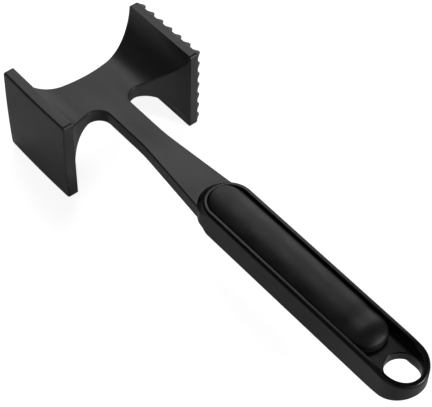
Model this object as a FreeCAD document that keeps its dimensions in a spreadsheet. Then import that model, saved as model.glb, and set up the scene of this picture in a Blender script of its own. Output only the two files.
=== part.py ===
import FreeCAD, Part
import math
import os

import Sketcher

# Double-faced meat mallet.
#
# The head and the shank are one stiff moulding whose tang runs back inside the handle.
# The handle is moulded over that tang, and a soft grip pad fills a recess on each side of it.
#
# Frame, in millimetres: the origin is the middle of the hanging hole, halfway through the handle.
# +Y runs from the hole towards the head, +X towards the toothed face, +Z out of the upper side.

DIMENSIONS = {
    # head block
    "head_centre": 233.7,         # hanging hole to the middle of the head
    "smooth_reach": 46.2,         # shank's axis to the border of the smooth face
    "toothed_reach": 45.3,        # shank's axis to the roots of the teeth
    "plate_inside": 39.7,         # shank's axis to the inner edges of both plates
    "plate_side": 54.8,           # both striking plates are square
    "plate_corner": 2.0,
    "face_round": 1.1,            # rounding around each striking face
    "dome_height": 0.5,           # rise of the smooth face from mid-edge to middle
    "stock": 2.0,                 # spare depth that a cut takes past the surface
    # hollows around the web
    "web_thick": 8.5,
    "flare_radius": 25.0,         # upper and lower hollows
    "far_inset": 10.0,            # depth of the far hollow
    "near_edge": 6.6,             # head centre to the near edge of the web
    "near_flat": 8.0,             # half the straight part of that edge
    "notch_radius": 8.0,          # corner between the web and the shank
    "web_round": 0.9,             # rounding of the web's and the shank's edges
    # teeth
    "tooth_pitch": 8.0,
    "tooth_count": 7,
    "tooth_height": 3.0,
    "tooth_root": 4.6,
    "tooth_tip": 1.2,
    # shank
    "waist_width": 15.0,
    "waist_end": 188.4,           # where the narrow part starts to widen
    "waist_radius": 120.0,
    "foot_width": 27.0,           # level with the centre of the handle's round front
    # tang
    "tang_width": 15.0,
    "tang_thick": 5.0,
    "tang_rear": 40.0,
    "tang_front": 152.0,          # inside the shank
    "lock_hole": 8.0,             # holes that the handle fills
    "lock_rear": 58.0,
    "lock_pitch": 24.0,
    "lock_count": 3,
    # handle
    "handle_width": 28.4,
    "handle_thick": 18.2,
    "nose_centre": 129.4,         # foot of the sloping front
    "nose_radius": 14.8,
    "arch_centre": 126.6,         # rounded front of the rim
    "tip_centre": 1.8,
    "tip_slope_start": 10.0,      # the handle thins from here to its tip
    "tip_slope_radius": 57.0,
    "rim_round": 1.9,
    "rim_step": 0.15,             # upright face between the rim's rounding and the nose's ramp
    "rim_inner_round": 0.35,
    # recess and hanging hole
    "rim_width": 2.8,
    "seat_height": 4.5,           # floor under the pads, above the middle plane
    "seat_rear": 30.5,
    "floor_height": 2.8,          # floor around the hanging hole
    "floor_cove": 0.5,
    "hole_radius": 9.1,
    "hole_round": 0.5,
    # grip pads
    "pad_gap": 0.35,
    "pad_rear": 25.8,             # centre of the rounded rear end
    "pad_shoulder": 7.6,          # height of the pad's long edges
    "pad_crown": 10.8,            # height along its middle
    "pad_ball": 12.0,             # length over which the rear end rounds down
    "pad_ball_foot": 4.0,         # height at which the rear end turns vertical
}

doc = FreeCAD.newDocument("meat_mallet")


# ---------------------------------------------------------------- sheet and expressions

def make_sheet():
    """Give every driving dimension a cell whose alias is the dimension's name."""
    table = doc.addObject("Spreadsheet::Sheet", "sizes")
    for row, (alias, value) in enumerate(DIMENSIONS.items(), start=1):
        table.set(f"A{row}", alias)
        table.set(f"B{row}", str(value))
        table.setAlias(f"B{row}", alias)
    doc.recompute()
    return table


sheet = make_sheet()


def number(text):
    """Value of an expression such as "sizes.plate_side / 2"."""
    result = sheet.evalExpression(text)
    return float(getattr(result, "Value", result))


# ---------------------------------------------------------------- bodies and sketches

def new_body(name):
    body = doc.addObject("PartDesign::Body", name)
    body.Label = name
    return body


def origin_feature(body, role):
    """One of the body's own origin planes or axes, such as XY_Plane or X_Axis."""
    return next(item for item in body.Origin.OriginFeatures if item.Role == role)


def new_sketch(body, name, plane, lift="0", slide="0"):
    """Sketch on an origin plane, lifted along its normal and slid along its own horizontal."""
    sketch = body.newObject("Sketcher::SketchObject", name)
    sketch.AttachmentSupport = [(origin_feature(body, plane), "")]
    sketch.MapMode = "FlatFace"
    sketch.setExpression(".AttachmentOffset.Base.z", lift)
    sketch.setExpression(".AttachmentOffset.Base.x", slide)
    return sketch


def arc_between(start, end, radius, turn):
    """The shorter arc from start to end, bending to the left or to the right."""
    chord = end - start
    reach = math.sqrt(max(radius ** 2 - (chord.Length / 2) ** 2, 0))
    side = FreeCAD.Vector(-chord.y, chord.x, 0).normalize()
    centre = (start + end) / 2 + side * (reach if turn == "left" else -reach)
    first, last = (start, end) if turn == "left" else (end, start)
    angles = [math.atan2(point.y - centre.y, point.x - centre.x) for point in (first, last)]
    return Part.ArcOfCircle(Part.Circle(centre, FreeCAD.Vector(0, 0, 1), radius), *angles)


def pin(sketch, kind, axis, edge, place, text):
    """Fix one coordinate of an edge's end, on the axis itself where the expression is zero."""
    if abs(number(text)) < 1e-9:
        sketch.addConstraint(Sketcher.Constraint("PointOnObject", edge, place, axis))
        return
    index = sketch.addConstraint(Sketcher.Constraint(kind, -1, 1, edge, place, number(text)))
    sketch.setExpression(f"Constraints[{index}]", text)


def draw(sketch, corners):
    """Close an outline through corners whose coordinates are expressions.

    A corner is (x, y) when a straight line arrives at it from the corner before, and
    (x, y, radius, turn) when an arc does, bending to the left or to the right.
    """
    points = [FreeCAD.Vector(number(corner[0]), number(corner[1]), 0) for corner in corners]
    edges = []
    for index, corner in enumerate(corners):
        start, end = points[index - 1], points[index]
        if len(corner) == 2:
            edge = sketch.addGeometry(Part.LineSegment(start, end), False)
            edges.append((edge, 1, 2))
            continue
        radius, turn = corner[2:]
        edge = sketch.addGeometry(arc_between(start, end, number(radius), turn), False)
        edges.append((edge, 1, 2) if turn == "left" else (edge, 2, 1))
        rule = sketch.addConstraint(Sketcher.Constraint("Radius", edge, number(radius)))
        sketch.setExpression(f"Constraints[{rule}]", radius)
    for index, (edge, _, end_place) in enumerate(edges):
        next_edge, next_place, _ = edges[(index + 1) % len(edges)]
        sketch.addConstraint(
            Sketcher.Constraint("Coincident", edge, end_place, next_edge, next_place))
        pin(sketch, "DistanceX", -2, edge, end_place, corners[index][0])
        pin(sketch, "DistanceY", -1, edge, end_place, corners[index][1])
    return sketch


def draw_circle(sketch, x, y, radius):
    circle = Part.Circle(
        FreeCAD.Vector(number(x), number(y), 0), FreeCAD.Vector(0, 0, 1), number(radius))
    edge = sketch.addGeometry(circle, False)
    rule = sketch.addConstraint(Sketcher.Constraint("Radius", edge, number(radius)))
    sketch.setExpression(f"Constraints[{rule}]", radius)
    pin(sketch, "DistanceX", -2, edge, 3, x)
    pin(sketch, "DistanceY", -1, edge, 3, y)
    return sketch


def mirrored(half):
    """Complete an outline from its right half, listed from the top of the axis to its bottom."""
    left = []
    for index in range(len(half) - 2, -1, -1):
        x, y = half[index][:2]
        left.append((f"-({x})", y) + tuple(half[index + 1][2:]))
    return left[-1:] + half[1:] + left[:-1]


# ---------------------------------------------------------------- features

def extrude(body, kind, name, sketch, length, side="Symmetric", reverse=False):
    """Pad or Pocket a sketch, and check that it adds or removes material."""
    before = body.Shape.Volume if body.Tip and not body.Shape.isNull() else 0
    feature = body.newObject(f"PartDesign::{kind}", name)
    feature.Profile = sketch
    feature.SideType = side
    feature.Reversed = reverse
    feature.setExpression("Length", length)
    sketch.Visibility = False
    doc.recompute()
    check_change(body, name, before, grows=(kind == "Pad"))
    return feature


def check_change(body, name, before, grows):
    change = body.Shape.Volume - before
    if abs(change) < 1e-3 or (change > 0) != grows:
        raise RuntimeError(f"{name} changed the volume of {body.Label} by {change:.3f} mm3")


def add_loft(body, name, first, second):
    """Straight-sided loft from one sketch to another."""
    before = body.Shape.Volume
    feature = body.newObject("PartDesign::AdditiveLoft", name)
    feature.Profile = first
    feature.Sections = [second]
    feature.Ruled = True
    doc.recompute()
    check_change(body, name, before, grows=True)
    return feature


def edges_where(feature, test):
    """Names of the feature's edges whose middle point passes a test."""
    names = []
    for index, edge in enumerate(feature.Shape.Edges, start=1):
        middle = edge.valueAt((edge.FirstParameter + edge.LastParameter) / 2)
        if test(edge, middle):
            names.append(f"Edge{index}")
    return names


def round_edges(body, name, radius, test):
    """Fillet the tip feature's edges that pass a test."""
    base = body.Tip
    feature = body.newObject("PartDesign::Fillet", name)
    names = edges_where(base, test)
    if not names:
        raise RuntimeError(f"{name} found no edge to round")
    feature.Base = (base, names)
    feature.setExpression("Radius", radius)
    doc.recompute()
    if not feature.isValid():
        raise RuntimeError(f"{name} failed on {len(names)} edges")
    return feature


def near(value, target, reach=0.05):
    return abs(value - target) < reach


def upright(edge):
    """True for an edge whose two ends share one X and one Y."""
    ends = [vertex.Point for vertex in edge.Vertexes]
    return len(ends) == 2 and math.dist(ends[0][:2], ends[1][:2]) < 1e-6


# ---------------------------------------------------------------- head and shank

PLATE_INSIDE = "sizes.plate_inside"
PLATE_HALF = "sizes.plate_side / 2"
FLARE_RISE = "(sizes.plate_side - sizes.web_thick) / 2"
FLARE_START = f"({PLATE_INSIDE} - sqrt(sizes.flare_radius^2 - (sizes.flare_radius - {FLARE_RISE})^2))"
NOSE_SIDE = "(sizes.nose_centre + sqrt(sizes.nose_radius^2 - sizes.handle_width^2 / 4))"


def sagitta_radius(half_chord, depth):
    """Expression for the radius of an arc, from half its chord and its depth."""
    return f"((({half_chord})^2 + ({depth})^2) / (2 * ({depth})))"


def cut_far_hollow(body):
    edge = f"sizes.head_centre + {PLATE_HALF}"
    depth = "sizes.far_inset"
    sketch = draw(new_sketch(body, "far_hollow_outline", "XY_Plane"), mirrored([
        ("0", f"{edge} + sizes.stock"),
        (PLATE_INSIDE, f"{edge} + sizes.stock"),
        (PLATE_INSIDE, edge),
        ("0", f"{edge} - {depth}", sagitta_radius(PLATE_INSIDE, depth), "right"),
    ]))
    extrude(body, "Pocket", "far_hollow", sketch, "sizes.plate_side + sizes.stock")


def cut_near_hollows(body):
    """Hollow the block on each side of the shank, with a round corner where the web meets it."""
    edge = f"sizes.head_centre - {PLATE_HALF}"
    side = "sizes.waist_width / 2"
    corner = "sizes.notch_radius"
    radius = sagitta_radius(f"{PLATE_INSIDE} - sizes.near_flat", f"{PLATE_HALF} - sizes.near_edge")
    centre = f"(sizes.head_centre - sizes.near_edge - {radius})"
    across = f"({side} + {corner} - sizes.near_flat)"
    along = f"sqrt(({radius} - {corner})^2 - {across}^2)"
    stretch = f"({radius} / ({radius} - {corner}))"
    for name, sign, turn in (("right", "", "right"), ("left", "-", "left")):
        sketch = draw(new_sketch(body, f"{name}_near_outline", "XY_Plane"), [
            (f"{sign}({side})", f"{edge} - sizes.stock"),
            (f"{sign}({side})", f"{centre} + {along}"),
            (f"{sign}(sizes.near_flat + {across} * {stretch})", f"{centre} + {along} * {stretch}",
             corner, turn),
            (f"{sign}({PLATE_INSIDE})", edge, radius, turn),
            (f"{sign}({PLATE_INSIDE})", f"{edge} - sizes.stock"),
        ])
        extrude(body, "Pocket", f"{name}_near_hollow", sketch, "sizes.plate_side + sizes.stock")


def cut_flares(body):
    """Hollow the block above and below the web, between the two plates."""
    for name, sign, turn in (("upper", "", "right"), ("lower", "-", "left")):
        sketch = new_sketch(body, f"{name}_flare_outline", "XZ_Plane", lift="-sizes.head_centre")
        draw(sketch, mirrored([
            ("0", f"{sign}({PLATE_HALF} + sizes.stock)"),
            (PLATE_INSIDE, f"{sign}({PLATE_HALF} + sizes.stock)"),
            (PLATE_INSIDE, f"{sign}({PLATE_HALF})"),
            (FLARE_START, f"{sign}(sizes.web_thick / 2)", "sizes.flare_radius", turn),
            ("0", f"{sign}(sizes.web_thick / 2)"),
        ]))
        extrude(body, "Pocket", f"{name}_flare", sketch, "sizes.plate_side + sizes.stock")


def dome_smooth_face(body):
    """Turn the smooth face to a shallow sphere, whose poles lie far above and below the head."""
    radius = sagitta_radius(PLATE_HALF, "sizes.dome_height")
    reach = "(sizes.plate_side * 0.75)"
    skirt = f"sqrt({radius}^2 - {reach}^2)"
    outside = f"({radius} + 2 * sizes.stock)"
    sketch = new_sketch(body, "dome_outline", "XZ_Plane", lift="-sizes.head_centre",
                        slide=f"{radius} - sizes.smooth_reach - sizes.dome_height")
    draw(sketch, [
        (f"-{skirt}", f"-{reach}", radius, "left"),
        (f"-{outside}", f"-{reach}"),
        (f"-{outside}", reach),
        (f"-{skirt}", reach),
    ])
    before = body.Shape.Volume
    groove = body.newObject("PartDesign::Groove", "dome")
    groove.Profile = sketch
    groove.ReferenceAxis = (sketch, ["V_Axis"])
    groove.Midplane = True
    groove.Angle = 30
    doc.recompute()
    check_change(body, "dome", before, grows=False)


def add_shank(body):
    """Shank that widens in a straight taper from its waist to the handle's round front."""
    root = "sizes.head_centre - sizes.plate_side / 4"
    side = "sizes.waist_width / 2"
    widening = "((sizes.foot_width - sizes.waist_width) / 2)"
    taper_length = "(sizes.waist_end - sizes.nose_centre)"
    slant = f"sqrt({widening}^2 + {taper_length}^2)"
    blend = f"(sizes.waist_radius * ({slant} - {taper_length}) / {widening})"
    sketch = draw(new_sketch(body, "shank_outline", "XY_Plane"), mirrored([
        ("0", root),
        (side, root),
        (side, f"sizes.waist_end + {blend}"),
        (f"{side} + {blend} * {widening} / {slant}",
         f"sizes.waist_end - {blend} * {taper_length} / {slant}", "sizes.waist_radius", "left"),
        ("sizes.foot_width / 2", "sizes.nose_centre"),
        ("0", "sizes.nose_centre"),
    ]))
    extrude(body, "Pad", "shank", sketch, "sizes.web_thick")


def round_head(body):
    """Round the striking faces' borders, then the edges of the web and the shank."""
    half = number(PLATE_HALF)
    centre = number("sizes.head_centre")
    toothed_face = number("sizes.toothed_reach")
    inside = number(PLATE_INSIDE)
    web = number("sizes.web_thick / 2")
    flare_start = number(FLARE_START)

    def on_toothed_border(edge, middle):
        return near(middle.x, toothed_face)

    def on_smooth_border(edge, middle):
        outermost = max(abs(middle.z), abs(middle.y - centre))
        return middle.x < -inside - 1 and outermost > half - 1 and edge.BoundBox.DiagonalLength > 4.5

    def on_web_border(edge, middle):
        along_flare = near(abs(middle.x), flare_start) and edge.BoundBox.XLength < 1e-3
        return abs(middle.z) > web - 0.01 and abs(middle.x) < inside - 1 and not along_flare

    round_edges(body, "toothed_face_round", "sizes.face_round", on_toothed_border)
    round_edges(body, "smooth_face_round", "sizes.face_round", on_smooth_border)
    round_edges(body, "web_border_round", "sizes.web_round", on_web_border)


def cut_nose_seat(body):
    """End the shank in the hollow that the rounded front of the handle fills."""
    sketch = draw_circle(new_sketch(body, "nose_seat_outline", "XY_Plane"),
                         "0", "sizes.nose_centre", "sizes.nose_radius")
    extrude(body, "Pocket", "nose_seat", sketch, "sizes.web_thick + sizes.stock")


def draw_square(body, name, lift, offset, side):
    """Square across the X axis, with its centre offset equally in Y and Z from the head's centre."""
    low, high = f"{offset} - {side} / 2", f"{offset} + {side} / 2"
    near_side, far_side = f"sizes.head_centre + {low}", f"sizes.head_centre + {high}"
    return draw(new_sketch(body, name, "YZ_Plane", lift=lift), [
        (near_side, low),
        (far_side, low),
        (far_side, high),
        (near_side, high),
    ])


def add_teeth(body):
    """Equal rows and columns of blunt pyramids, centred on the toothed face."""
    span = "(sizes.tooth_pitch * (sizes.tooth_count - 1))"
    face = "sizes.toothed_reach"
    root = draw_square(body, "tooth_root", face, f"-{span} / 2", "sizes.tooth_root")
    crest = f"{face} + sizes.tooth_height"
    tip = draw_square(body, "tooth_tip", crest, f"-{span} / 2", "sizes.tooth_tip")
    tooth = add_loft(body, "tooth", root, tip)
    before = body.Shape.Volume
    rows = body.newObject("PartDesign::LinearPattern", "teeth")
    rows.Originals = [tooth]
    rows.Direction = (origin_feature(body, "Y_Axis"), [""])
    rows.Direction2 = (origin_feature(body, "Z_Axis"), [""])
    for suffix in ("", "2"):
        rows.setExpression(f"Length{suffix}", span)
        rows.setExpression(f"Occurrences{suffix}", "sizes.tooth_count")
    body.Tip = rows
    doc.recompute()
    check_change(body, "teeth", before, grows=True)


def make_head_form():
    body = new_body("head_form")
    outline = draw_square(body, "block_outline", "0", "0", "sizes.plate_side")
    block = extrude(body, "Pad", "block", outline, "sizes.toothed_reach", side="Two sides")
    block.setExpression("Length2", "sizes.smooth_reach + sizes.stock")
    doc.recompute()
    block_length = number("sizes.toothed_reach + sizes.smooth_reach + sizes.stock")
    round_edges(body, "block_corners", "sizes.plate_corner", lambda edge, middle: (
        near(edge.Length, block_length)))
    dome_smooth_face(body)
    cut_far_hollow(body)
    cut_near_hollows(body)
    cut_flares(body)
    add_shank(body)
    round_head(body)
    cut_nose_seat(body)
    add_teeth(body)
    return body


# ---------------------------------------------------------------- tang

def make_tang():
    """Flat tongue that carries the head's load into the handle, with holes that lock it there."""
    body = new_body("tang")
    half = "sizes.tang_width / 2"
    sketch = draw(new_sketch(body, "tang_outline", "XY_Plane"), mirrored([
        ("0", "sizes.tang_front"),
        (half, "sizes.tang_front"),
        (half, f"sizes.tang_rear + {half}"),
        ("0", "sizes.tang_rear", half, "right"),
    ]))
    extrude(body, "Pad", "tongue", sketch, "sizes.tang_thick")
    holes = new_sketch(body, "lock_outline", "XY_Plane")
    for index in range(int(number("sizes.lock_count"))):
        draw_circle(holes, "0", f"sizes.lock_rear + {index} * sizes.lock_pitch", "sizes.lock_hole / 2")
    extrude(body, "Pocket", "lock_holes", holes, "sizes.tang_thick + sizes.stock")
    return body


# ---------------------------------------------------------------- handle

HANDLE_HALF = "sizes.handle_width / 2"
RECESS_HALF = "(sizes.handle_width / 2 - sizes.rim_width)"
RIM_HEIGHT = "sizes.handle_thick / 2"


def stadium(half, rear="sizes.tip_centre"):
    """Outline with round ends, the front one about the arch's centre."""
    return mirrored([
        ("0", f"sizes.arch_centre + {half}"),
        (half, "sizes.arch_centre", half, "right"),
        (half, rear),
        ("0", f"{rear} - {half}", half, "right"),
    ])


def rear_outline(half, front, rear="sizes.tip_centre"):
    """Outline of a stadium's rear part, cut straight at the front."""
    return mirrored([
        ("0", front),
        (half, front),
        (half, rear),
        ("0", f"{rear} - {half}", half, "right"),
    ])


def front_outline(side, front, radius):
    """Outline of the handle's front end, cut straight at the back."""
    back = f"sizes.arch_centre - {HANDLE_HALF}"
    return mirrored([
        ("0", front),
        (HANDLE_HALF, side, radius, "right"),
        (HANDLE_HALF, back),
        ("0", back),
    ])


def slope_tip(body):
    """Thin the handle towards its tip, above and below."""
    start = "sizes.tip_slope_start"
    end = f"(sizes.tip_centre - {HANDLE_HALF} - sizes.stock)"
    drop = f"{RIM_HEIGHT} - sizes.tip_slope_radius + sqrt(sizes.tip_slope_radius^2 - ({start} - {end})^2)"
    for name, sign, turn in (("upper", "", "right"), ("lower", "-", "left")):
        sketch = draw(new_sketch(body, f"{name}_slope_outline", "YZ_Plane"), [
            (end, f"{sign}({RIM_HEIGHT} + sizes.stock)"),
            (end, f"{sign}({drop})"),
            (start, f"{sign}({RIM_HEIGHT})", "sizes.tip_slope_radius", turn),
            (start, f"{sign}({RIM_HEIGHT} + sizes.stock)"),
        ])
        extrude(body, "Pocket", f"{name}_tip_slope", sketch, "sizes.handle_width + sizes.stock")


def add_nose(body):
    """Add the round front that meets the shank, ramped up to the rim above and below."""
    foot = front_outline(NOSE_SIDE, "sizes.nose_centre + sizes.nose_radius", "sizes.nose_radius")
    crest = front_outline("sizes.arch_centre", f"sizes.arch_centre + {HANDLE_HALF}", HANDLE_HALF)
    core = draw(new_sketch(body, "nose_outline", "XY_Plane"), foot)
    extrude(body, "Pad", "nose", core, "sizes.web_thick")
    for name, sign in (("upper", ""), ("lower", "-")):
        low = new_sketch(body, f"{name}_foot_outline", "XY_Plane", lift=f"{sign}sizes.web_thick / 2")
        high = new_sketch(body, f"{name}_crest_outline", "XY_Plane",
                          lift=f"{sign}({RIM_HEIGHT} - sizes.rim_round - sizes.rim_step)")
        add_loft(body, f"{name}_ramp", draw(low, foot), draw(high, crest))


def sink_recesses(body):
    """Sink the seat of each pad, and the deeper floor around the hanging hole."""
    for name, sign, reverse in (("upper", "", False), ("lower", "-", True)):
        for kind, outline, height in (
            ("seat", stadium(RECESS_HALF), "sizes.seat_height"),
            ("floor", rear_outline(RECESS_HALF, "sizes.seat_rear"), "sizes.floor_height"),
        ):
            sketch = new_sketch(body, f"{name}_{kind}_outline", "XY_Plane", lift=f"{sign}{RIM_HEIGHT}")
            extrude(body, "Pocket", f"{name}_{kind}", draw(sketch, outline), f"{RIM_HEIGHT} - {height}",
                    side="One side", reverse=reverse)


def distance_inside(middle):
    """Distance from the stadium's spine, which runs between its two round ends."""
    nearest = min(max(middle.y, number("sizes.tip_centre")), number("sizes.arch_centre"))
    return math.hypot(middle.x, middle.y - nearest)


def on_crest(edge, middle, half):
    """True for a lengthwise edge at the top or bottom of a wall that stands on a stadium."""
    tapered = middle.y < number("sizes.tip_slope_start") and abs(middle.z) > number("sizes.floor_height")
    level = near(abs(middle.z), number(RIM_HEIGHT))
    return near(distance_inside(middle), number(half)) and (level or tapered) and not upright(edge)


def cut_hanging_hole(body):
    """Cut the hole with its rounded lips, about the Z axis."""
    lip = "(sizes.hole_radius + sizes.hole_round)"
    wall = "(sizes.floor_height - sizes.hole_round)"
    sketch = draw(new_sketch(body, "hanging_outline", "XZ_Plane"), [
        ("0", "-sizes.floor_height"),
        (lip, "-sizes.floor_height"),
        ("sizes.hole_radius", f"-{wall}", "sizes.hole_round", "right"),
        ("sizes.hole_radius", wall),
        (lip, "sizes.floor_height", "sizes.hole_round", "right"),
        ("0", "sizes.floor_height"),
    ])
    before = body.Shape.Volume
    groove = body.newObject("PartDesign::Groove", "hanging_hole")
    groove.Profile = sketch
    groove.ReferenceAxis = (sketch, ["V_Axis"])
    groove.Reversed = True
    groove.Angle = 360
    doc.recompute()
    check_change(body, "hanging_hole", before, grows=False)


def make_handle_form():
    body = new_body("handle_form")
    grip = draw(new_sketch(body, "grip_outline", "XY_Plane"), stadium(HANDLE_HALF))
    extrude(body, "Pad", "grip", grip, "sizes.handle_thick")
    slope_tip(body)
    round_edges(body, "rim_outer_round", "sizes.rim_round", lambda edge, middle: (
        on_crest(edge, middle, HANDLE_HALF)))
    add_nose(body)
    sink_recesses(body)
    round_edges(body, "rim_inner_round", "sizes.rim_inner_round", lambda edge, middle: (
        on_crest(edge, middle, RECESS_HALF)))
    round_edges(body, "floor_cove", "sizes.floor_cove", lambda edge, middle: (
        near(distance_inside(middle), number(RECESS_HALF))
        and near(abs(middle.z), number("sizes.floor_height"))))
    cut_hanging_hole(body)
    return body


# ---------------------------------------------------------------- grip pads

PAD_HALF = "(sizes.handle_width / 2 - sizes.rim_width - sizes.pad_gap)"
PAD_TAIL = f"(sizes.pad_rear - {PAD_HALF})"


def crown_pad(body):
    """Round the pad's top across its width."""
    rise = "sizes.pad_crown - sizes.pad_shoulder"
    sketch = new_sketch(body, f"{body.Label}_crown", "XZ_Plane", lift="-sizes.arch_centre / 2")
    draw(sketch, mirrored([
        ("0", "sizes.pad_crown + sizes.stock"),
        (PAD_HALF, "sizes.pad_crown + sizes.stock"),
        (PAD_HALF, "sizes.pad_shoulder"),
        ("0", "sizes.pad_crown", sagitta_radius(PAD_HALF, rise), "left"),
    ]))
    extrude(body, "Pocket", f"{body.Label}_crown_cut", sketch, "1.5 * sizes.arch_centre")


def round_pad_tail(body):
    """Bring the pad's rear end down in an arc towards the recess floor."""
    radius = sagitta_radius("sizes.pad_ball", "sizes.pad_crown - sizes.pad_ball_foot")
    sketch = draw(new_sketch(body, f"{body.Label}_tail", "YZ_Plane"), [
        (f"{PAD_TAIL} - sizes.stock", "sizes.pad_crown + sizes.stock"),
        (f"{PAD_TAIL} - sizes.stock", "sizes.pad_ball_foot"),
        (PAD_TAIL, "sizes.pad_ball_foot"),
        (f"{PAD_TAIL} + sizes.pad_ball", "sizes.pad_crown", radius, "right"),
        (f"{PAD_TAIL} + sizes.pad_ball", "sizes.pad_crown + sizes.stock"),
    ])
    extrude(body, "Pocket", f"{body.Label}_tail_cut", sketch, "sizes.handle_width")


def make_grip_pad(name, turn):
    """Soft insert that stands on the seat and, at its rear, on the deeper floor."""
    body = new_body(name)
    block = new_sketch(body, f"{name}_block_outline", "XY_Plane", lift="sizes.seat_height")
    extrude(body, "Pad", f"{name}_block", draw(block, stadium(PAD_HALF, rear="sizes.pad_rear")),
            "sizes.pad_crown - sizes.seat_height", side="One side")
    foot = new_sketch(body, f"{name}_foot_outline", "XY_Plane", lift="sizes.floor_height")
    extrude(body, "Pad", f"{name}_foot",
            draw(foot, rear_outline(PAD_HALF, "(sizes.seat_rear - sizes.pad_gap)", "sizes.pad_rear")),
            "sizes.seat_height - sizes.floor_height", side="One side")
    crown_pad(body)
    round_pad_tail(body)
    body.Placement.Rotation = FreeCAD.Rotation(FreeCAD.Vector(0, 1, 0), turn)
    return body


# ---------------------------------------------------------------- pieces

def combine(kind, name, base, tool):
    """Part Fuse or Cut of two bodies, as a piece of its own."""
    piece = doc.addObject(f"Part::{kind}", name)
    piece.Label = name
    piece.Base = base
    piece.Tool = tool
    piece.Refine = True
    doc.recompute()
    return piece


def check_document():
    for item in doc.Objects:
        if {"Invalid", "Error"} & set(item.State):
            raise RuntimeError(f"{item.Name} did not recompute: {item.State}")


def export(pieces):
    for piece in pieces:
        if piece.Shape.isNull() or not piece.Shape.isValid():
            raise RuntimeError(f"{piece.Label} has no valid shape")
        if len(piece.Shape.Solids) != 1:
            raise RuntimeError(f"{piece.Label} has {len(piece.Shape.Solids)} solids")
    os.makedirs("parts", exist_ok=True)
    for piece in pieces:
        piece.Shape.exportStep(f"parts/{piece.Label}.step")


head_form = make_head_form()
tang = make_tang()
handle_form = make_handle_form()
pieces = [
    combine("Fuse", "mallet_head", head_form, tang),
    combine("Cut", "handle_body", handle_form, tang),
    make_grip_pad("upper_grip_pad", 0),
    make_grip_pad("lower_grip_pad", 180),
]
doc.recompute()
check_document()
export(pieces)
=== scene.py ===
import math

import bmesh
import bpy
from mathutils import Matrix, Vector


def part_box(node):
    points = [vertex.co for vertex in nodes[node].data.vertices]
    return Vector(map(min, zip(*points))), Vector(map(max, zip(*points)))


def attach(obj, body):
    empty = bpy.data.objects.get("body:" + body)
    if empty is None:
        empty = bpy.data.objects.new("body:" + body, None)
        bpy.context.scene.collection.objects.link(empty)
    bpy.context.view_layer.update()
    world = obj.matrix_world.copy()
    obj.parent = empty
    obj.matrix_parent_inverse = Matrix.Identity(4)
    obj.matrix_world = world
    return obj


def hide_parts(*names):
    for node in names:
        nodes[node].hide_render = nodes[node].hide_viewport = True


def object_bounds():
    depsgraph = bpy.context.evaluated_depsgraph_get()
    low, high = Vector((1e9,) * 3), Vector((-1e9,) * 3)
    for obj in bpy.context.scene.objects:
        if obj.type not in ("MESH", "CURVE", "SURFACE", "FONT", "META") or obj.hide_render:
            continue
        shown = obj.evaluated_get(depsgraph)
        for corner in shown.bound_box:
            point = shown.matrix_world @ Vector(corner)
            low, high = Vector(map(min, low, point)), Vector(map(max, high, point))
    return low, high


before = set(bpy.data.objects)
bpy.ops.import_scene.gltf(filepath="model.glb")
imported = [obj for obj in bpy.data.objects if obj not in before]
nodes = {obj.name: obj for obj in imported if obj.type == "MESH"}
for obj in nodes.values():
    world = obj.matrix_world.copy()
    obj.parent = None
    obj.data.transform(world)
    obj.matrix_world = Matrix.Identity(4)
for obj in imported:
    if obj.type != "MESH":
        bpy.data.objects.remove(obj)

# Double-faced meat mallet: the head, the shank and the handle are CAD nodes with moulded-plastic
# materials, and the two soft grip pads are built here. Metres, in the CAD frame.

CAD_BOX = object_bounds()
MM = 0.001


# ---------------------------------------------------------------- materials

BEVEL_SAMPLES = 4
EDGE_COSINE = 0.9       # normals this far apart count as a full edge ...
FLAT_COSINE = 0.995     # ... and this close together as flat


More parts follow.
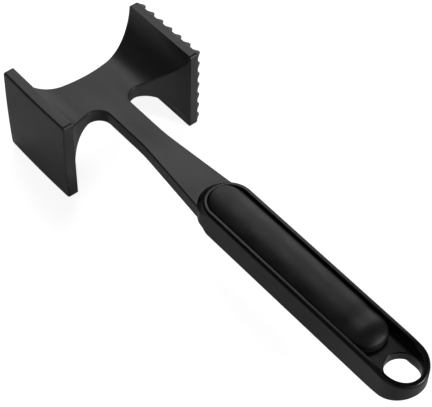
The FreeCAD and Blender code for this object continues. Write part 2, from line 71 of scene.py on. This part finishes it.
class Shader:
    """A node material with short ways to add and link nodes."""

    def __init__(self, name):
        self.material = bpy.data.materials.new(name)
        self.material.use_nodes = True
        self.tree = self.material.node_tree
        self.tree.nodes.clear()
        self.coordinates = self.add("TexCoord").outputs["Object"]

    def add(self, kind, **settings):
        node = self.tree.nodes.new("ShaderNode" + kind)
        for key, value in settings.items():
            setattr(node, key, value)
        return node

    def put(self, socket, value):
        """Link an output to a socket, or set the socket's value."""
        if isinstance(value, bpy.types.NodeSocket):
            self.tree.links.new(value, socket)
        else:
            socket.default_value = value

    def noise(self, size, detail=2.0, stretch=(1, 1, 1)):
        """Noise between 0 and 1 whose features are about size metres across."""
        mapping = self.add("Mapping")
        self.put(mapping.inputs["Vector"], self.coordinates)
        mapping.inputs["Scale"].default_value = stretch
        node = self.add("TexNoise")
        self.put(node.inputs["Vector"], mapping.outputs["Vector"])
        node.inputs["Scale"].default_value = 1 / size
        node.inputs["Detail"].default_value = detail
        return node.outputs["Fac"]

    def remap(self, value, low, high, start=0.3, end=0.7):
        """Spread the values between start and end over low to high."""
        node = self.add("MapRange")
        self.put(node.inputs["Value"], value)
        for key, number in (("From Min", start), ("From Max", end), ("To Min", low), ("To Max", high)):
            self.put(node.inputs[key], number)
        return node.outputs["Result"]

    def blend(self, factor, first, second):
        """Mix two grey levels or colours."""
        node = self.add("Mix", data_type="RGBA")
        self.put(node.inputs["Factor"], factor)
        self.put(node.inputs[6], first)
        self.put(node.inputs[7], second)
        return node.outputs[2]

    def bump(self, height, depth, normal=None):
        """Bump whose full swing is depth metres."""
        node = self.add("Bump")
        node.inputs["Strength"].default_value = 1.0
        self.put(node.inputs["Distance"], depth)
        self.put(node.inputs["Height"], height)
        if normal is not None:
            self.put(node.inputs["Normal"], normal)
        return node.outputs["Normal"]

    def edge_mask(self, radius):
        """1 where the surface turns within radius, 0 on flat areas."""
        bevel = self.add("Bevel", samples=BEVEL_SAMPLES)
        bevel.inputs["Radius"].default_value = radius
        geometry = self.add("NewGeometry")
        dot = self.add("VectorMath", operation="DOT_PRODUCT")
        self.put(dot.inputs[0], bevel.outputs["Normal"])
        self.put(dot.inputs[1], geometry.outputs["Normal"])
        return self.remap(dot.outputs["Value"], 1.0, 0.0, start=EDGE_COSINE, end=FLAT_COSINE)

    def finish(self, **sockets):
        """Close the material with a Principled surface."""
        surface = self.add("BsdfPrincipled")
        for name, value in sockets.items():
            self.put(surface.inputs[name.replace("_", " ")], value)
        output = self.add("OutputMaterial")
        self.put(output.inputs["Surface"], surface.outputs["BSDF"])
        return self.material


def grey(level):
    return (level, level, level, 1.0)


def head_plastic():
    """Satin, glass-filled moulding: fine grain, faint flow marks, edges polished by use and a painted
    dark reflection line along the edges.
    """
    shader = Shader("satin_black_moulding")
    flow = shader.noise(14 * MM, detail=4, stretch=(1.0, 0.35, 1.0))
    grain = shader.noise(0.35 * MM, detail=3)
    speckle = shader.noise(1.1 * MM, detail=2)
    # Edge mask: the edges get lower roughness, as polished by use, and a darker colour, which is painted
    # shade.
    edges_with_painted_tone = shader.edge_mask(0.9 * MM)
    base = shader.blend(shader.remap(flow, 0, 1), grey(0.038), grey(0.052))
    base = shader.blend(shader.remap(speckle, 0, 0.5, start=0.55), base, grey(0.055))
    # Painted shade: the colour darkens along the edges to paint in the dark reflection lines of the
    # rounded edges.
    base = shader.blend(shader.remap(edges_with_painted_tone, 0, 0.5, start=0, end=1), base, grey(0.03))
    rough = shader.blend(edges_with_painted_tone, shader.remap(flow, 0.36, 0.46), grey(0.24))
    normal = shader.bump(grain, 0.012 * MM)
    normal = shader.bump(flow, 0.10 * MM, normal)
    return shader.finish(Base_Color=base, Roughness=rough, Normal=normal)


def handle_plastic():
    """Glossier moulding with fine rubbing marks along the grip and a painted highlight along its edges.
    """
    shader = Shader("gloss_black_moulding")
    cloud = shader.noise(9 * MM, detail=3)
    rubbing = shader.noise(0.5 * MM, detail=3, stretch=(1.0, 0.06, 1.0))
    grain = shader.noise(0.4 * MM, detail=2)
    edges_with_painted_tone = shader.edge_mask(0.5 * MM)
    base = shader.blend(shader.remap(cloud, 0, 1), grey(0.005), grey(0.009))
    # Painted highlight: the colour lightens along the edges and the rim to paint in thin highlight lines.
    base = shader.blend(shader.remap(edges_with_painted_tone, 0, 0.4, start=0, end=1), base, grey(0.04))
    rough = shader.remap(rubbing, 0.26, 0.36)
    normal = shader.bump(grain, 0.004 * MM)
    normal = shader.bump(cloud, 0.05 * MM, normal)
    return shader.finish(Base_Color=base, Roughness=rough, Normal=normal,
                         Specular_IOR_Level=0.42)


def pad_rubber():
    """Soft-touch rubber: matt, finely grained, with a faint dusty bloom."""
    shader = Shader("soft_touch_rubber")
    bloom = shader.noise(11 * MM, detail=4)
    grain = shader.noise(0.30 * MM, detail=3)
    speckle = shader.noise(0.8 * MM, detail=1)
    base = shader.blend(shader.remap(bloom, 0, 1), grey(0.007), grey(0.015))
    base = shader.blend(shader.remap(speckle, 0, 0.4, start=0.6, end=0.8), base, grey(0.03))
    rough = shader.remap(bloom, 0.38, 0.52)
    normal = shader.bump(grain, 0.020 * MM)
    return shader.finish(Base_Color=base, Roughness=rough, Normal=normal,
                         Specular_IOR_Level=0.45, Sheen_Weight=0.05, Sheen_Roughness=0.5)


# ---------------------------------------------------------------- grip pads

SEAT_HEIGHT = 4.5 * MM            # pads rest on the seats ...
FLOOR_HEIGHT = 2.8 * MM           # ... and behind them on the floor around the hanging hole
SEAT_REAR = 30.5 * MM
CONTACT = 0.02 * MM               # clearance under the pads
PAD_SHOULDER_DROP = 3.3 * MM      # the long edges lie this far below the middle
PAD_EDGE_ROUND = 1.1 * MM
PAD_BALL = 12 * MM                # the rear end rounds down over this length
PAD_BALL_FOOT = 4.0 * MM
PAD_DIP = 0.45 * MM               # shallow saddle just ahead of the rounded end
PAD_DIP_AT = 17 * MM
PAD_DIP_SPREAD = 5 * MM
PAD_SEAT_STEP_AT = SEAT_REAR - 0.4 * MM
PAD_UNDERSIDE_INSETS = (2.0 * MM, 0.25 * MM)
PAD_SIDE_RISES = (0.12, 0.55)     # rings up the side, as shares of its height
PAD_SIDE_SHARE = 0.8              # most of the side's height that the edge rounding may take
PAD_TOP_SHARES = (0.18, 0.30, 0.44, 0.58, 0.72, 0.85, 0.96)    # rings in from the edge
ROUND_STEPS = 5                   # rings around the edge rounding
END_STEPS = 20                    # points around each half circle
SIDE_STEPS = 44                   # points along each straight side


def stadium_points(half, rear, front, inset):
    """Points around a stadium drawn inset from its outline, anticlockwise from the right rear."""
    radius = half - inset
    points = []
    for step in range(SIDE_STEPS):
        points.append((radius, rear + (front - rear) * step / SIDE_STEPS))
    for step in range(END_STEPS):
        angle = math.pi * step / END_STEPS
        points.append((radius * math.cos(angle), front + radius * math.sin(angle)))
    for step in range(SIDE_STEPS):
        points.append((-radius, front + (rear - front) * step / SIDE_STEPS))
    for step in range(END_STEPS):
        angle = math.pi * (1 + step / END_STEPS)
        points.append((radius * math.cos(angle), rear + radius * math.sin(angle)))
    return points


def pad_top(x, y, half, low_y, crown):
    """Height of the pad's skin before its edge is rounded."""
    height = crown - PAD_SHOULDER_DROP * (x / half) ** 2
    from_dip = (y - low_y - PAD_DIP_AT) / PAD_DIP_SPREAD
    height -= PAD_DIP * math.exp(-from_dip ** 2)
    into_tail = max(0.0, 1 - (y - low_y) / PAD_BALL)
    fall = 1 - math.sqrt(max(0.0, 1 - into_tail ** 2))
    return height - fall * (crown - PAD_BALL_FOOT)


def pad_bottom(y):
    """Height of the pad's underside, just above the recess floor or the seat."""
    return (FLOOR_HEIGHT if y < PAD_SEAT_STEP_AT else SEAT_HEIGHT) + CONTACT


def pad_profile(half):
    """Rings from the underside to the crown: inset, rise up the side, drop over the rounding."""
    profile = [(inset, 0.0, None) for inset in PAD_UNDERSIDE_INSETS]
    profile += [(0.0, rise, None) for rise in PAD_SIDE_RISES]
    for step in range(ROUND_STEPS + 1):
        angle = math.pi / 2 * step / ROUND_STEPS
        profile.append((PAD_EDGE_ROUND * (1 - math.cos(angle)), 1.0, 1 - math.sin(angle)))
    profile += [(half * share, 1.0, 0.0) for share in PAD_TOP_SHARES]
    return profile


def grip_pad(name, side):
    """Crowned pad with a rounded edge and a ball-shaped rear end, above or below the handle."""
    low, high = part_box(name + "_grip_pad")
    half = high.x
    crown = max(abs(low.z), abs(high.z))
    rear, front = low.y + half, high.y - half
    mesh = bmesh.new()
    rings = []
    for inset, rise, drop in pad_profile(half):
        ring = []
        for x, y in stadium_points(half, rear, front, inset):
            bottom = pad_bottom(y)
            top = pad_top(x, y, half, low.y, crown)
            edge = min(PAD_EDGE_ROUND, PAD_SIDE_SHARE * (top - bottom))
            if drop is None:
                z = bottom + (top - edge - bottom) * rise
            else:
                z = top - edge * drop
            ring.append(mesh.verts.new((x, y, side * z)))
        rings.append(ring)
    count = len(rings[0])
    for lower, upper in zip(rings, rings[1:]):
        for index in range(count):
            after = (index + 1) % count
            mesh.faces.new((lower[index], lower[after], upper[after], upper[index]))
    for ring in (rings[0], rings[-1]):
        fill_stadium(mesh, ring)
    bmesh.ops.recalc_face_normals(mesh, faces=mesh.faces)
    data = bpy.data.meshes.new(name + "_pad_skin")
    mesh.to_mesh(data)
    mesh.free()
    data.shade_smooth()
    pad = bpy.data.objects.new(name + "_pad_skin", data)
    bpy.context.scene.collection.objects.link(pad)
    smooth = pad.modifiers.new("smooth", "SUBSURF")
    smooth.levels = smooth.render_levels = 1
    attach(pad, "root")
    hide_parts(name + "_grip_pad")
    return pad


def fill_stadium(mesh, ring):
    """Close a stadium-shaped ring with quads straight across it."""
    straight = SIDE_STEPS
    right_side = ring[:straight + 1]
    left_side = [ring[2 * straight + END_STEPS - index] for index in range(straight + 1)]
    for index in range(straight):
        mesh.faces.new((right_side[index], right_side[index + 1], left_side[index + 1], left_side[index]))
    front_cap = ring[straight:straight + END_STEPS + 1]
    rear_cap = ring[2 * straight + END_STEPS:] + ring[:1]
    for cap in (front_cap, rear_cap):
        low, high = 0, len(cap) - 1
        while high - low > 2:
            mesh.faces.new((cap[low], cap[low + 1], cap[high - 1], cap[high]))
            low, high = low + 1, high - 1
        if high - low == 2:
            mesh.faces.new((cap[low], cap[low + 1], cap[high]))


# ---------------------------------------------------------------- finish the object

def paint(obj, material):
    obj.data.materials.clear()
    obj.data.materials.append(material)


rubber = pad_rubber()
paint(nodes["mallet_head"], head_plastic())
paint(nodes["handle_body"], handle_plastic())
paint(grip_pad("upper", 1), rubber)
paint(grip_pad("lower", -1), rubber)


# ---------------------------------------------------------------- floor, lights and camera

FLOOR_SIZE = 12
FLOOR_GAP = 0.2 * MM   # between the floor and the plates that stand on it
FLOOR_GLOW = 0.90      # keeps the pale floor near white in the picture
FLOOR_BOUNCE = 0.11    # the part of that glow that reaches the mallet


def make_floor():
    low, _ = CAD_BOX
    bpy.ops.mesh.primitive_plane_add(size=FLOOR_SIZE, location=(0, 0.13, low.z - FLOOR_GAP))
    floor = bpy.context.object
    floor.name = "floor"
    shader = Shader("pale_floor")
    tone = shader.remap(shader.noise(0.2, detail=2), 0.86, 0.90)
    seen = shader.add("LightPath").outputs["Is Camera Ray"]
    glow = shader.remap(seen, FLOOR_BOUNCE, FLOOR_GLOW, start=0, end=1)
    paint(floor, shader.finish(Base_Color=tone, Roughness=0.7,
                               Emission_Color=grey(1), Emission_Strength=glow))


LIGHT_DISTANCE = 1.1
LIGHT_TARGET = Vector((0, 0.14, 0))


def area_light(name, azimuth, elevation, size, watts):
    """Square light that faces the mallet from an azimuth and elevation in degrees."""
    turn, tilt = math.radians(azimuth), math.radians(elevation)
    back = Vector((math.sin(turn) * math.cos(tilt), -math.cos(turn) * math.cos(tilt), math.sin(tilt)))
    light = bpy.data.lights.new(name, "AREA")
    light.size = size
    light.energy = watts
    lamp = bpy.data.objects.new(name, light)
    lamp.location = LIGHT_TARGET + back * LIGHT_DISTANCE
    lamp.rotation_euler = (-back).to_track_quat("-Z", "Y").to_euler()
    bpy.context.scene.collection.objects.link(lamp)
    return lamp


def make_world(level):
    world = bpy.data.worlds.new("studio")
    world.use_nodes = True
    world.node_tree.nodes["Background"].inputs["Color"].default_value = grey(level)
    bpy.context.scene.world = world


CAMERA_AZIMUTH, CAMERA_ELEVATION, CAMERA_ROLL = -41.25, 49.58, 1.68
CAMERA_TARGET = Vector((-1.15, 135.73, 0)) * MM
CAMERA_DISTANCE = 732.2 * MM
CAMERA_LENS = 117.36
CAMERA_SENSOR = 36


def make_camera():
    azimuth = math.radians(CAMERA_AZIMUTH)
    elevation = math.radians(CAMERA_ELEVATION)
    roll = math.radians(CAMERA_ROLL)
    back = Vector((math.sin(azimuth) * math.cos(elevation),
                   -math.cos(azimuth) * math.cos(elevation),
                   math.sin(elevation)))
    level = Vector((math.cos(azimuth), math.sin(azimuth), 0))
    rise = back.cross(level)
    right = level * math.cos(roll) + rise * math.sin(roll)
    up = rise * math.cos(roll) - level * math.sin(roll)
    data = bpy.data.cameras.new("camera")
    data.lens = CAMERA_LENS
    data.sensor_width = CAMERA_SENSOR
    camera = bpy.data.objects.new("camera", data)
    turn = Matrix((right, up, back)).transposed().to_4x4()
    camera.matrix_world = Matrix.Translation(CAMERA_TARGET + back * CAMERA_DISTANCE) @ turn
    bpy.context.scene.collection.objects.link(camera)
    bpy.context.scene.camera = camera


make_floor()
make_world(0.0)
area_light("right_softbox", 120, 20, 0.6, 1.8)
area_light("back_softbox", 150, 50, 0.6, 2.3)
area_light("left_softbox", 300, 20, 0.6, 0.4)
area_light("left_top_fill", 270, 50, 0.6, 0.35)
area_light("front_low_fill", 0, 10, 0.4, 0.2)
area_light("front_softbox", 29, 17, 0.16, 3.6)
make_camera()
bpy.context.scene.view_settings.view_transform = "Standard"
